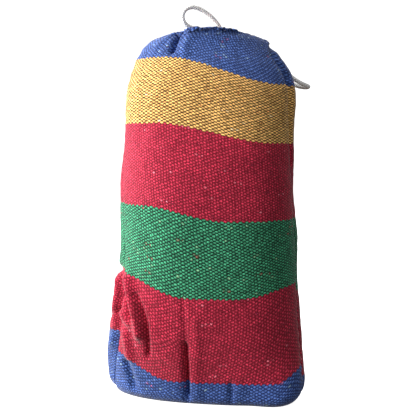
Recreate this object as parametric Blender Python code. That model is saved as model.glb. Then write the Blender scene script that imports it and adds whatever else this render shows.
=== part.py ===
"""A striped canvas hammock packed in its own drawstring carry bag.

The bag stands on its bottom, +Z is up and its front faces -Y. The script makes the two cloth
panels of the bag, its stitching, its drawstring with the bow, and the rolled hammock with its
clew cords and tie ropes inside. Lengths are in millimetres and are turned into metres where a
mesh or a curve is made.
"""
import math

import bmesh
import bpy
import numpy as np
from mathutils import Vector

MM = 0.001

# ---------------------------------------------------------------- driving dimensions
CLOTH = 1.6                 # thickness of the bag's canvas
TOUCH = 0.4                 # gap left between pieces that touch
SEAM_THREAD = 1.2           # diameter of the side and bottom stitching
SEAM_HALF_GAP = SEAM_THREAD / 2 + TOUCH
CORD = 4.0                  # diameter of the drawstring
CORD_SPACING = 8.0          # distance between a cord's points
CURVE_STEPS = 12            # points read from each stretch of a smooth route

BOTTOM_EDGE = 10.0          # radius of the rounded bottom edge
EDGE_TURNS = (0, 25, 50, 72)
BASE_SHARES = (0.0, 0.5)    # rows of the flat base between the bottom seam and the edge
BOTTOM_SEAM_INSET = 12.0    # the bottom seam starts this far in from each corner
LEFT_VALLEY = 4.0           # how far each side seam draws the cloth in
RIGHT_VALLEY = 1.6
VALLEY_REACH = 8.0
VALLEY_TOP = 300.0          # the valleys fade out at the shoulder
VALLEY_FADE = 60.0
SKEW = 0.07                 # the right side stands this much nearer to the front
SKEW_FADE = 120.0
BASE_SKEW = 0.08            # and more so at the foot
BASE_SKEW_TOP = 90.0
FRONT_LIFT = 2.0            # the cloth stands this much higher in front of the mouth
LIFT_FROM = 308.0
PULL_LEAN = 0.3             # how much the pull of a seam turns towards the middle of the bag
COLUMNS = 21                # points across each cloth panel
CROWDING = 0.1              # how much closer together the columns stand near the seams
OUTLINE_STEPS = 240         # steps along which an outline is measured

MOUTH_X = 4.0               # centre of the gathered mouth
SLIT_ANGLE = 60.0           # direction of the cord slit, degrees from +X towards +Y
SLIT_HALF = 6.6             # half width of the cord slit
SLIT_OPENS = [1.8, 2.8, 4.4, 5.8]   # half gaps of the rows before it, as the seam opens
CASING_RING = 18.0          # radius of the circle that the cord follows in the hem
CASING_TUBE = 5.0           # outer radius of the hem's fold round the cord
CASING_Z = 329.2
CASING_EXIT_BEND = 6.4      # radius at which the cord turns out of the ring
EXIT_RISE = 2.4             # the cord climbs this much on its way out of the slit
EXIT_STEPS = 4
RING_STEPS = 20             # steps of the cord's way round the mouth
KNOT_HALF = (6.0, 5.4, 5.0)
KNOT_MESH = (8, 12)         # rings and sides
TAIL_KNOT_HALF = (4.4, 4.4, 4.6)
TAIL_KNOT_MESH = (6, 10)
KNOT_RIDGES = 3
KNOT_RIDGE = 0.1            # height of a ridge as a share of the knot
KNOT_END = 0.6              # the first and last ring stand this share of a step from the poles
HEM_THREAD = 1.6            # diameter of the stitching that closes the hem
HEM_THREAD_RING = 19.8
HEM_THREAD_Z = 324.5
HEM_THREAD_STEPS = 26
HEM_THREAD_SHORT = 1.0      # the stitching stops this far from the slit

ROLL_CENTRE = (14.0, -3.0)  # the rolled bed stands right of the middle
ROLL_CORE = 13.0            # half length of the first flat fold
ROLL_START = 4.0            # distance of the first turn from the core
ROLL_RADIUS = 41.0          # distance of the last turn from the core
ROLL_PITCH = 3.9            # distance between turns
ROLL_CLOTH = 3.3            # three layers of pressed canvas
ROLL_FOOT = 4.0
ROLL_TOP = 271.0            # a third of the bed's 0.8 m width, above its foot
ROLL_STEPS = 16             # points for each turn

CLEW_X = -55.0              # the bundles of clew cords stand left of the roll
CLEW_Y = {"head": -16.4, "foot": 12.2}
CLEW_HALF = (9.0, 10.5)     # half thickness and half width of a bundle
CLEW_TOP = 232.0
CLEW_LOBES = 6              # doubled cords that show round a bundle
CLEW_GROOVE = 0.1           # depth of the groove between two, as a share of the bundle
CLEW_END = 0.55             # width of a bundle's ends, as a share of its middle
CLEW_TWIST = 0.9            # radians that a bundle turns from end to end
CLEW_RINGS = 12
WHIPPING_Z = 196.0
WHIPPING_TWINE = 2.8
WHIPPING_TURNS = 4
WHIPPING_VALLEY = 0.55      # thickness between two turns of twine, as a share of the twine
WHIPPING_NICK = 0.08        # half width of that valley, as a share of the twine
ROUND_STEPS = 18            # steps round a whipping
EYE_ROPE = 6.0
EYE_HALF = (8.0, 20.0)
EYE_STEPS = 20
COIL_CENTRE = (12.0, -2.0)
COIL_RADII = (15.0, 33.0)
COIL_TALL = 14.0
COIL_EASE = 3.0             # the coil's edges are cut back this much
COIL_STEPS = 20

# Outlines of the bag from its foot to the mouth: height, left, right, front and back extent,
# squareness, then the angles of the left and right side seams.
OUTLINES = [
    (BOTTOM_EDGE, -92.4, 92.6, -52, 52, 2.6, -162, -13),
    (47, -92.6, 91.6, -56, 54, 2.5, -156, -13),
    (67, -90.2, 90.0, -58, 56, 2.4, -154, -13),
    (86, -86.8, 88.6, -59, 58, 2.4, -156, -13),
    (105, -83.2, 87.6, -59, 58, 2.4, -159, -13),
    (133, -79.6, 86.6, -59, 58, 2.4, -164, -13),
    (162, -79.2, 84.6, -59, 58, 2.4, -166, -13),
    (190, -78.6, 82.2, -59, 58, 2.4, -167, -13),
    (227, -75.4, 82.2, -57, 57, 2.4, -172, -16),
    (254, -73.2, 83.2, -53, 54, 2.4, -176, -19),
    (281, -70.6, 83.4, -48, 50, 2.3, -180, -20),
    (299, -65.8, 77.8, -42, 44, 2.2, -180, -22),
    (308, -62.2, 71.8, -38, 40, 2.2, -180, -22),
    (316, -57.4, 65.8, -34.5, 37, 2.1, -180, -16),
    (323, -51.6, 59.6, -32, 33, 2.0, -180, 2),
    (328, -42.0, 49.6, -30, 30.5, 2.0, -180, 34),
]
# Radius and height of the cloth where it dips into the mouth, and its lift at the front.
MOUTH_DIP = [(33.0, 330.4, 2.2), (29.0, 331.0, 2.2), (26.2, 329.8, 1.6), (24.4, 327.6, 0.8),
             (23.4, 326.0, 0.2), (22.7, 326.6, 0.0)]
HEM_TURNS = (0, 45, 90, 135, 180, 218)      # degrees round the cord, from the outer side
HEM_LEG = [(16.4, 324.3), (17.0, 322.9), (17.0, 319.2)]

# The free cord's routes, from the knot outwards.
KNOT_CENTRE = (20.5, 28.6, 334.4)
LOOP_TOP = [
    (15.6, 23.8, 340.6), (11.5, 20.8, 346.2), (5.0, 17.0, 352.2), (-3.0, 13.2, 356.8),
    (-10.8, 9.8, 358.5), (-17.4, 7.8, 356.0), (-20.2, 7.6, 350.4), (-18.6, 9.8, 344.4),
    (-13.0, 13.6, 340.8), (-4.5, 18.4, 340.0), (4.0, 22.8, 339.0), (11.0, 26.2, 337.0),
]
LOOP_SIDE = [
    (27.6, 26.6, 333.8), (34.0, 24.2, 333.0), (43.5, 21.8, 330.2), (54.0, 19.6, 325.4),
    (63.0, 18.6, 317.4), (70.6, 17.8, 308.2), (78.0, 17.0, 299.4), (85.0, 16.4, 293.4),
    (91.6, 17.0, 289.6), (97.0, 19.4, 287.6), (99.4, 24.4, 286.8), (97.0, 29.6, 286.8),
    (91.2, 32.6, 288.0), (84.0, 33.2, 291.0), (76.0, 32.4, 296.4), (66.8, 31.2, 304.0),
    (56.0, 30.8, 312.2), (43.8, 31.0, 319.6), (34.0, 31.8, 325.4), (26.4, 33.8, 330.4),
]
TAIL_LEFT = [
    (15.2, 33.2, 330.0), (12.0, 35.4, 325.6), (9.4, 37.4, 321.4), (5.8, 41.6, 311.4),
    (2.8, 46.8, 299.4), (0.6, 51.2, 286.4), (-0.6, 54.6, 272.8), (-1.1, 58.2, 259.0),
]
TAIL_RIGHT = [
    (21.0, 35.4, 328.6), (22.2, 36.0, 324.0), (24.2, 37.6, 318.4), (27.0, 41.8, 306.4),
    (29.6, 46.4, 293.2), (31.0, 50.6, 279.8), (30.4, 54.8, 266.0),
]


# ---------------------------------------------------------------- scene and mesh helpers
def clear_scene():
    for obj in list(bpy.data.objects):
        bpy.data.objects.remove(obj, do_unlink=True)


def material(name, colour, roughness):
    mat = bpy.data.materials.new(name)
    mat.use_nodes = True
    shader = mat.node_tree.nodes["Principled BSDF"]
    shader.inputs["Base Color"].default_value = (*colour, 1.0)
    shader.inputs["Roughness"].default_value = roughness
    shader.inputs["Metallic"].default_value = 0.0
    return mat


def add_mesh(name, points, faces, mat):
    """A named object from points in millimetres, with its faces turned outwards."""
    mesh = bpy.data.meshes.new(name)
    mesh.from_pydata([Vector(p) * MM for p in points], [], faces)
    mesh.materials.append(mat)
    obj = bpy.data.objects.new(name, mesh)
    bpy.context.collection.objects.link(obj)
    bm = bmesh.new()
    bm.from_mesh(mesh)
    bmesh.ops.recalc_face_normals(bm, faces=bm.faces)
    bm.to_mesh(mesh)
    bm.free()
    mesh.shade_smooth()
    mesh.set_sharp_from_angle(angle=math.radians(40))
    return obj


def add_tube(name, points, diameter, mat, closed=False):
    """A cord: a poly curve with a round bevel and, where it is open, filled ends."""
    curve = bpy.data.curves.new(name, "CURVE")
    curve.dimensions = "3D"
    curve.bevel_depth = diameter / 2 * MM
    curve.bevel_resolution = 2
    curve.use_fill_caps = not closed
    spline = curve.splines.new("POLY")
    spline.points.add(len(points) - 1)
    for slot, point in zip(spline.points, points):
        slot.co = (*(Vector(point) * MM), 1.0)
    spline.use_cyclic_u = closed
    curve.materials.append(mat)
    obj = bpy.data.objects.new(name, curve)
    bpy.context.collection.objects.link(obj)
    return obj


def add_rings(name, rings, mat, joined=False):
    """A closed body through rings of points, with end caps or joined end to end."""
    count = len(rings[0])
    points = [p for ring in rings for p in ring]
    faces = []
    for k in range(len(rings) if joined else len(rings) - 1):
        near = k * count
        far = (k + 1) % len(rings) * count
        for i in range(count):
            j = (i + 1) % count
            faces.append((near + i, near + j, far + j, far + i))
    if not joined:
        last = (len(rings) - 1) * count
        faces.append(tuple(range(count)))
        faces.append(tuple(range(last, last + count)))
    return add_mesh(name, points, faces, mat)


def even_points(line, spacing):
    """A line's points again, at an even spacing."""
    steps = [math.dist(p, q) for p, q in zip(line, line[1:])]
    length = np.concatenate([[0.0], np.cumsum(steps)])
    count = max(2, round(length[-1] / spacing) + 1)
    wanted = np.linspace(0.0, length[-1], count)
    axes = [np.interp(wanted, length, [p[i] for p in line]) for i in range(3)]
    return [tuple(map(float, p)) for p in zip(*axes)]


def smooth_line(points, spacing):
    """Points at an even spacing on the Catmull-Rom curve through the given points."""
    given = [Vector(p) for p in points]
    given = [2 * given[0] - given[1]] + given + [2 * given[-1] - given[-2]]
    fine = []
    for a, b, c, d in zip(given, given[1:], given[2:], given[3:]):
        for k in range(CURVE_STEPS):
            s = k / CURVE_STEPS
            straight = 2 * b + (c - a) * s
            bend = (2 * a - 5 * b + 4 * c - d) * s**2 + (3 * b - a - 3 * c + d) * s**3
            fine.append((straight + bend) / 2)
    fine.append(given[-2])
    return even_points(fine, spacing)


# ---------------------------------------------------------------- the bag's shape
def bag_rows():
    """The bag's outlines from foot to hem, each with its half gap at the right seam."""
    foot = OUTLINES[0]
    rows = []
    for turn in EDGE_TURNS:
        inset = BOTTOM_EDGE * (1 - math.sin(math.radians(turn)))
        height = BOTTOM_EDGE * (1 - math.cos(math.radians(turn)))
        extents = (foot[1] + inset, foot[2] - inset, foot[3] + inset, foot[4] - inset)
        rows.append((height, *extents, *foot[5:]))
    rows += OUTLINES
    top = OUTLINES[-1][0]
    rows = [(*row, FRONT_LIFT * max(0.0, (row[0] - LIFT_FROM) / (top - LIFT_FROM))) for row in rows]
    gaps = [SEAM_HALF_GAP] * (len(rows) - 3) + SLIT_OPENS
    hem = [(CASING_RING + CASING_TUBE * math.cos(math.radians(turn)),
            CASING_Z + CASING_TUBE * math.sin(math.radians(turn))) for turn in HEM_TURNS]
    for radius, height, lift in MOUTH_DIP + [(*point, 0.0) for point in hem + HEM_LEG]:
        extents = (MOUTH_X - radius, MOUTH_X + radius, -radius, radius)
        rows.append((height, *extents, 2.0, -180, SLIT_ANGLE, lift))
    gaps += [SLIT_HALF] * (len(rows) - len(gaps))
    return list(zip(rows, gaps))


def outline_point(row, angle):
    """The point of an outline at an angle in degrees; the front is at -90."""
    height, left, right, front, back, power, *_, lift = row
    c = math.cos(math.radians(angle))
    s = math.sin(math.radians(angle))
    centre = (left + right) / 2
    x = centre + (right - left) / 2 * math.copysign(abs(c) ** (2 / power), c)
    depth = -front if s < 0 else back
    y = depth * math.copysign(abs(s) ** (2 / power), s)
    skew = SKEW * min(1.0, max(0.0, (CASING_Z - height) / SKEW_FADE))
    skew += BASE_SKEW * max(0.0, 1 - height / BASE_SKEW_TOP)
    return np.array([x, y - skew * (x - centre), height + lift * y / front])


def gap_angle(row, angle, gap):
    """The angle that a gap in millimetres takes up along an outline."""
    step = outline_point(row, angle + 0.5) - outline_point(row, angle - 0.5)
    return gap / np.linalg.norm(step)


def seam_pull(row, side):
    """A side seam's point on an outline, and how far the seam draws the cloth in there."""
    angle, depth = (row[6], LEFT_VALLEY) if side == "left" else (row[7], RIGHT_VALLEY)
    seam = outline_point(row, angle)
    inward = np.array([(row[1] + row[2]) / 2 - seam[0], -PULL_LEAN * seam[1], 0.0])
    fade = min(1.0, max(0.0, (VALLEY_TOP - row[0]) / VALLEY_FADE))
    return seam, inward / np.linalg.norm(inward) * depth * fade


def drawn_in(row, point):
    """An outline's point after both side seams have drawn the cloth in."""
    for side in ("left", "right"):
        seam, pull = seam_pull(row, side)
        near = np.linalg.norm(point - seam) / VALLEY_REACH
        point = point + pull * math.exp(-near * near)
    return point


def outline_span(row, start, end):
    """COLUMNS points along an outline between two angles, closer together at the ends."""
    turn = (end - start) / OUTLINE_STEPS
    fine = [outline_point(row, start + turn * k) for k in range(OUTLINE_STEPS + 1)]
    steps = [np.linalg.norm(q - p) for p, q in zip(fine, fine[1:])]
    length = np.concatenate([[0.0], np.cumsum(steps)])
    even = np.linspace(0.0, 1.0, COLUMNS)
    wanted = length[-1] * (even - CROWDING * np.sin(2 * np.pi * even))
    axes = [np.interp(wanted, length, [p[i] for p in fine]) for i in range(3)]
    return [drawn_in(row, np.array(p)) for p in zip(*axes)]


def bottom_seam():
    """The two ends of the bottom seam, between the corners of the base."""
    foot = bag_rows()[0][0]
    left = drawn_in(foot, outline_point(foot, foot[6]))
    right = drawn_in(foot, outline_point(foot, foot[7]))
    inset = (right - left) / np.linalg.norm(right - left) * BOTTOM_SEAM_INSET
    return left + inset, right - inset


def panel_grid(side):
    """The rows of points of one cloth panel's outer face, from the bottom seam to the hem."""
    grid = []
    for row, gap in bag_rows():
        left_gap = gap_angle(row, row[6], SEAM_HALF_GAP)
        right_gap = gap_angle(row, row[7], gap)
        if side == "front":
            grid.append(outline_span(row, row[6] + left_gap, row[7] - right_gap))
        else:
            grid.append(outline_span(row, row[6] + 360 - left_gap, row[7] + right_gap))
    left, right = bottom_seam()
    away = np.array([0.0, -SEAM_HALF_GAP if side == "front" else SEAM_HALF_GAP, 0.0])
    base = []
    for share in BASE_SHARES:
        line = []
        for k, edge in enumerate(grid[0]):
            seam = left + (right - left) * k / (COLUMNS - 1) + away
            line.append(seam + (edge - seam) * share)
        base.append(line)
    return base + grid


# ---------------------------------------------------------------- the bag's pieces
def make_panel(side, mat):
    """One canvas panel: its outer face, made thick towards the inside."""
    grid = panel_grid(side)
    points = [p for line in grid for p in line]
    faces = []
    for r in range(len(grid) - 1):
        for k in range(COLUMNS - 1):
            a = r * COLUMNS + k
            quad = (a, a + 1, a + 1 + COLUMNS, a + COLUMNS)
            faces.append(quad if side == "front" else quad[::-1])
    obj = add_mesh(side + "_panel", points, faces, mat)
    if obj.data.polygons[len(faces) // 2].normal.y * (-1 if side == "front" else 1) < 0:
        obj.data.flip_normals()
    solid = obj.modifiers.new("cloth", "SOLIDIFY")
    solid.thickness = CLOTH * MM
    solid.offset = -1.0
    solid.use_even_offset = True
    return obj


def make_side_seam(side, mat):
    """A side seam's stitching, halfway between the edges of the two panels."""
    front = panel_grid("front")
    back = panel_grid("back")
    column = 0 if side == "left" else COLUMNS - 1
    first = len(BASE_SHARES) + 1
    last = len(BASE_SHARES) + len(EDGE_TURNS) + len(OUTLINES) - 2
    line = []
    for a, b in zip(front[first:last], back[first:last]):
        edges = (a[column] + b[column]) / 2
        inward = (a[COLUMNS // 2] + b[COLUMNS // 2]) / 2 - edges
        line.append(edges + inward / np.linalg.norm(inward) * CLOTH / 2)
    return add_tube(side + "_seam_thread", line, SEAM_THREAD, mat)


def make_bottom_seam(mat):
    left, right = bottom_seam()
    lift = np.array([0.0, 0.0, CLOTH / 2])
    line = even_points([left + lift, right + lift], CORD_SPACING)
    return add_tube("bottom_seam_thread", line, SEAM_THREAD, mat)


def mouth_circle(radius, height, start, end, steps):
    """Points on a circle round the mouth between two angles in degrees."""
    line = []
    for k in range(steps + 1):
        angle = math.radians(start + (end - start) * k / steps)
        line.append((MOUTH_X + radius * math.cos(angle), radius * math.sin(angle), height))
    return line


def make_hem_thread(mat):
    short = math.degrees((SLIT_HALF + HEM_THREAD_SHORT) / HEM_THREAD_RING)
    start = SLIT_ANGLE + short
    end = start + 360 - 2 * short
    line = mouth_circle(HEM_THREAD_RING, HEM_THREAD_Z, start, end, HEM_THREAD_STEPS)
    return add_tube("mouth_hem_thread", line, HEM_THREAD, mat)


def make_casing_run(mat):
    """The cord round the mouth, with both ends turned out through the slit."""
    bend = CASING_EXIT_BEND
    beside = CORD / 2 + TOUCH / 2
    turn = math.asin((bend + beside) / (CASING_RING + bend))
    way_out = []
    for k in range(EXIT_STEPS + 1):
        along = (math.pi / 2 - turn) * k / EXIT_STEPS
        # The bend's centre lies outside the ring, beside the way out.
        reach = (CASING_RING + bend) * math.cos(turn) - bend * math.cos(turn + along)
        offset = bend + beside - bend * math.sin(turn + along)
        way_out.append((reach, offset, CASING_Z + EXIT_RISE * k / EXIT_STEPS))
    start = SLIT_ANGLE + math.degrees(turn)
    end = SLIT_ANGLE + 360 - math.degrees(turn)
    ring = mouth_circle(CASING_RING, CASING_Z, start, end, RING_STEPS)
    line = [slit_point(reach, offset, height) for reach, offset, height in reversed(way_out)]
    line += ring[1:-1]
    line += [slit_point(reach, -offset, height) for reach, offset, height in way_out]
    return add_tube("drawstring_casing_run", line, CORD, mat)


def slit_point(reach, offset, height):
    """A point at a distance from the mouth's centre along the slit, and off to its side."""
    slit = math.radians(SLIT_ANGLE)
    x = MOUTH_X + reach * math.cos(slit) - offset * math.sin(slit)
    y = reach * math.sin(slit) + offset * math.cos(slit)
    return (x, y, height)


def make_knot(name, centre, half, mat, mesh):
    """A tightened knot: a rounded body with soft ridges that wind round it."""
    rings, sides = mesh
    loops = []
    for r in range(rings):
        polar = math.pi * (r + KNOT_END) / (rings - 1 + 2 * KNOT_END)
        loop = []
        for k in range(sides):
            turn = 2 * math.pi * k / sides
            wave = math.cos(KNOT_RIDGES * turn + 2 * polar)
            ridge = 1 + KNOT_RIDGE * wave * math.sin(polar)
            loop.append((centre[0] + half[0] * ridge * math.sin(polar) * math.cos(turn),
                         centre[1] + half[1] * ridge * math.sin(polar) * math.sin(turn),
                         centre[2] + half[2] * math.cos(polar)))
        loops.append(loop)
    return add_rings(name, loops, mat)


# ---------------------------------------------------------------- the packed hammock
def make_bed(mat):
    """The canvas bed: folded in three and rolled up round its first flat fold."""
    turns = (ROLL_RADIUS - ROLL_START) / ROLL_PITCH
    steps = round(turns * ROLL_STEPS)
    middle = []
    for k in range(steps + 1):
        angle = 2 * math.pi * turns * k / steps
        radius = ROLL_START + ROLL_PITCH * turns * k / steps
        middle.append((ROLL_CENTRE[0] + (ROLL_CORE + radius) * math.cos(angle),
                       ROLL_CENTRE[1] + radius * math.sin(angle)))
    rings = []
    for k, (x, y) in enumerate(middle):
        before = middle[max(0, k - 1)]
        after = middle[min(steps, k + 1)]
        length = math.dist(before, after)
        nx = (after[1] - before[1]) / length * ROLL_CLOTH / 2
        ny = -(after[0] - before[0]) / length * ROLL_CLOTH / 2
        rings.append([(x + nx, y + ny, ROLL_FOOT), (x + nx, y + ny, ROLL_TOP),
                      (x - nx, y - ny, ROLL_TOP), (x - nx, y - ny, ROLL_FOOT)])
    return add_rings("hammock_bed", rings, mat)


def make_clew(end, mat):
    """One end's clew cords, laid together and doubled into an upright bundle."""
    rings = []
    for r in range(CLEW_RINGS + 1):
        share = r / CLEW_RINGS
        height = ROLL_FOOT + (CLEW_TOP - ROLL_FOOT) * share
        end_share = min(share, 1 - share) * CLEW_RINGS / 2
        narrow = CLEW_END + (1 - CLEW_END) * min(1.0, end_share)
        ring = []
        for k in range(CLEW_LOBES * 3):
            turn = 2 * math.pi * k / (CLEW_LOBES * 3)
            lobe = narrow * (1 - CLEW_GROOVE * (k % 3 == 0))
            twist = turn + share * CLEW_TWIST
            ring.append((CLEW_X + CLEW_HALF[0] * lobe * math.cos(twist),
                         CLEW_Y[end] + CLEW_HALF[1] * lobe * math.sin(twist), height))
        rings.append(ring)
    return add_rings(end + "_clew_cords", rings, mat)


def make_whipping(end, mat):
    """Twine bound round a bundle: a band whose outer side shows its turns."""
    inner = (CLEW_HALF[0] + TOUCH, CLEW_HALF[1] + TOUCH)
    tall = WHIPPING_TURNS * WHIPPING_TWINE
    profile = [(0.0, 0.0)]
    valley = WHIPPING_TWINE * WHIPPING_VALLEY
    for k in range(WHIPPING_TURNS):
        profile.append((valley, (k + WHIPPING_NICK) * WHIPPING_TWINE))
        profile.append((WHIPPING_TWINE, (k + 0.5) * WHIPPING_TWINE))
    profile.append((valley, tall - WHIPPING_NICK * WHIPPING_TWINE))
    profile.append((0.0, tall))
    rings = []
    for k in range(ROUND_STEPS):
        turn = 2 * math.pi * k / ROUND_STEPS
        rings.append([(CLEW_X + (inner[0] + out) * math.cos(turn),
                       CLEW_Y[end] + (inner[1] + out) * math.sin(turn),
                       WHIPPING_Z + up) for out, up in profile])
    return add_rings(end + "_clew_whipping", rings, mat, joined=True)


def make_eye(end, mat):
    """The rope eye that the clew cords end in, standing on its bundle."""
    side, up = EYE_HALF
    centre = CLEW_TOP + TOUCH + EYE_ROPE / 2 + up
    line = []
    for k in range(EYE_STEPS):
        turn = 2 * math.pi * k / EYE_STEPS
        # The eye is two half circles, with its straight sides between them.
        lift = 0.0 if k % (EYE_STEPS // 2) == 0 else math.copysign(up - side, math.sin(turn))
        line.append((CLEW_X, CLEW_Y[end] + side * math.cos(turn),
                     centre + side * math.sin(turn) + lift))
    return add_tube(end + "_end_loop", line, EYE_ROPE, mat, closed=True)


def make_rope_coil(end, foot, mat):
    """A tie rope wound into a flat coil that lies on the roll, turned as one closed ring."""
    inner, outer = COIL_RADII
    ease = COIL_EASE
    profile = [(inner, ease), (inner + ease, 0.0), (outer - ease, 0.0), (outer, ease),
               (outer, COIL_TALL - ease), (outer - ease, COIL_TALL),
               (inner + ease, COIL_TALL), (inner, COIL_TALL - ease)]
    rings = []
    for k in range(COIL_STEPS):
        turn = 2 * math.pi * k / COIL_STEPS
        rings.append([(COIL_CENTRE[0] + radius * math.cos(turn),
                       COIL_CENTRE[1] + radius * math.sin(turn), foot + up)
                      for radius, up in profile])
    return add_rings(end + "_hanging_rope", rings, mat, joined=True)


# ---------------------------------------------------------------- the object
def main():
    clear_scene()
    canvas = material("striped_canvas", (0.40, 0.03, 0.06), 0.9)
    thread = material("sewing_thread", (0.30, 0.04, 0.06), 0.8)
    cotton = material("white_cotton_cord", (0.82, 0.80, 0.76), 0.8)
    rope = material("natural_rope", (0.74, 0.70, 0.60), 0.85)

    make_panel("front", canvas)
    make_panel("back", canvas)
    make_side_seam("left", thread)
    make_side_seam("right", thread)
    make_bottom_seam(thread)
    make_hem_thread(thread)

    make_casing_run(cotton)
    make_knot("drawstring_knot", KNOT_CENTRE, KNOT_HALF, cotton, KNOT_MESH)
    add_tube("bow_loop_top", smooth_line(LOOP_TOP, CORD_SPACING), CORD, cotton)
    add_tube("bow_loop_side", smooth_line(LOOP_SIDE, CORD_SPACING), CORD, cotton)
    for side, route in (("left", TAIL_LEFT), ("right", TAIL_RIGHT)):
        add_tube("bow_tail_" + side, smooth_line(route, CORD_SPACING), CORD, cotton)
        last = Vector(route[-1])
        way = (last - Vector(route[-2])).normalized()
        centre = last + way * (TAIL_KNOT_HALF[2] + TOUCH)
        make_knot("tail_knot_" + side, centre, TAIL_KNOT_HALF, cotton, TAIL_KNOT_MESH)

    make_bed(canvas)
    for k, end in enumerate(("head", "foot")):
        make_clew(end, rope)
        make_whipping(end, rope)
        make_eye(end, rope)
        make_rope_coil(end, ROLL_TOP + TOUCH + k * (COIL_TALL + TOUCH), rope)


main()
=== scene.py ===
"""The looks of a striped canvas hammock packed in its own drawstring bag.

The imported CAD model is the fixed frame. The bag's two cloth panels are rebuilt here as fine
cloth on the same outlines, with their gathers, seams and creases. The drawstring is rebuilt as
braided cord, and every piece gets a woven, sewn or braided material made of nodes. Lengths in
the tables are millimetres, and are turned into metres where an object is made.
"""
import math

import bpy
import numpy as np
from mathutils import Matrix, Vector, noise

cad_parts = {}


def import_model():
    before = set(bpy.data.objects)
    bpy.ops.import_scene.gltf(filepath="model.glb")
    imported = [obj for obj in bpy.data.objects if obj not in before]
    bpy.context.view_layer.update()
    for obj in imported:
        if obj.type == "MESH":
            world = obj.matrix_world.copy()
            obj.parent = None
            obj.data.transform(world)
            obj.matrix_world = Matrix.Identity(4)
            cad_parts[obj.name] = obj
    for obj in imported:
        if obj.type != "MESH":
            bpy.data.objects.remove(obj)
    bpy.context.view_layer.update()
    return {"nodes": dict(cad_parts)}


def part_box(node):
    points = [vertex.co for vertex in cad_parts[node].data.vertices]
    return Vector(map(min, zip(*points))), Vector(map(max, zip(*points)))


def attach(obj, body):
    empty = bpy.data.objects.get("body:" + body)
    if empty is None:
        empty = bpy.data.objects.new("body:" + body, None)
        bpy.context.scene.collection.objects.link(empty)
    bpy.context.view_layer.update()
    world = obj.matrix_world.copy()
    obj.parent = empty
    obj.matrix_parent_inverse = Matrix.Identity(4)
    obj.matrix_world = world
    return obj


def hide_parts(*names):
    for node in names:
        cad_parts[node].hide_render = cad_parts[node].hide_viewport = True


MM = 0.001
BODY = "root"               # the bag is one body
SEED = 11                   # for the pleats

# ---------------- the bag's outlines, as in CAD
# Height, left, right, front and back extent, squareness, left and right seam angle.
EDGE = 10.0
OUTLINES = [
    (EDGE, -92.4, 92.6, -52, 52, 2.6, -162, -13),
    (47, -92.6, 91.6, -56, 54, 2.5, -156, -13),
    (67, -90.2, 90.0, -58, 56, 2.4, -154, -13),
    (86, -86.8, 88.6, -59, 58, 2.4, -156, -13),
    (105, -83.2, 87.6, -59, 58, 2.4, -159, -13),
    (133, -79.6, 86.6, -59, 58, 2.4, -164, -13),
    (162, -79.2, 84.6, -59, 58, 2.4, -166, -13),
    (190, -78.6, 82.2, -59, 58, 2.4, -167, -13),
    (227, -75.4, 82.2, -57, 57, 2.4, -172, -16),
    (254, -73.2, 83.2, -53, 54, 2.4, -176, -19),
    (281, -70.6, 83.4, -48, 50, 2.3, -180, -20),
    (299, -65.8, 77.8, -42, 44, 2.2, -180, -22),
    (308, -62.2, 71.8, -38, 40, 2.2, -180, -22),
    (316, -57.4, 65.8, -34.5, 37, 2.1, -180, -16),
    (323, -51.6, 59.6, -32, 33, 2.0, -180, 2),
    (328, -42.0, 49.6, -30, 30.5, 2.0, -180, 34),
]
MOUTH_DIP = [(33.0, 330.4, 2.2), (29.0, 331.0, 2.2), (26.2, 329.8, 1.6), (24.4, 327.6, 0.8),
             (23.4, 326.0, 0.2), (22.7, 326.6, 0.0)]
HEM_LEG = [(16.4, 324.3), (17.0, 322.9), (17.0, 319.2)]
MOUTH_X = 4.0               # centre of the gathered mouth
SLIT_ANGLE = 60.0           # direction of the cord slit, degrees from +X towards +Y
SLIT_HALF = 6.6             # half width of the cord slit
SLIT_OPENS = [1.8, 2.8, 4.4, 5.8]   # half gaps of the rows before it, as the seam opens
SEAM_HALF_GAP = 0.9         # half the gap between the two panels at a seam
CASING_RING = 18.0          # radius of the circle that the cord follows in the hem
CASING_TUBE = 5.0           # outer radius of the hem's fold round the cord
CASING_Z = 329.2
CASING_EXIT_BEND = 6.4      # radius at which the cord turns out of the ring
CASING_EXIT_RISE = 2.4      # and how far it climbs on its way out of the slit
HEM_THREAD_RING = 19.8      # radius and height of the stitching that closes the hem
HEM_THREAD_Z = 324.5
HEM_THREAD_SHORT = 24.0     # degrees that it stops short of the slit
SKEW = 0.07                 # the right side stands this much nearer to the front
SKEW_FADE = 120.0
BASE_SKEW = 0.08            # and more so at the foot
BASE_SKEW_TOP = 90.0
FRONT_LIFT = 2.0            # the cloth stands this much higher in front of the mouth
LIFT_FROM = 308.0
VALLEY_REACH = 8.0          # the side seams draw the cloth in over this distance
PULL_LEAN = 0.3             # how much that pull turns towards the middle of the bag
# How deep they draw it in: heights, and the depth at each.
LEFT_VALLEY = ([0, 25, 55, 95, 112, 122, 300], [3, 6, 9, 9, 6, 4, 0])
RIGHT_VALLEY = ([0, 190, 240, 310, 322], [2.2, 2.2, 3.6, 3.6, 0])
SEAM_ROLL = 2.4             # radius of the rolled edges that meet at a seam
MOUTH_ROLL = 0.7            # and of those round the cord slit
SIDE_FLANGE = 2.4           # how far the cloth goes on into the bag past that roll
MOUTH_FLANGE = 0.4
MOUTH_EDGE = 6.0            # and this one is used down to this distance below the hem
BOTTOM_FLANGE = 3.0
FLANGE_LEAN = 0.8           # and how far it leans over to the other panel on its way
FLANGE_CLOTH = np.array([0.9, 1.8, 2.8, 4.2, 6.4])      # the weave's places on roll and flange
FLOOR_SKIN = 0.3            # cloth below this height lies on the floor
BOTTOM_SEAM_INSET = 12.0
CORNER_FORWARD = 9.5        # the right corner of the foot stands forward
CORNER_ROUND = 4.0          # and is rounder than the rest of the foot
CORNER_X = (35.0, 80.0)     # where this starts and is complete, from left to right
CORNER_Z = (50.0, 5.0)      # and from the top down
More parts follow.
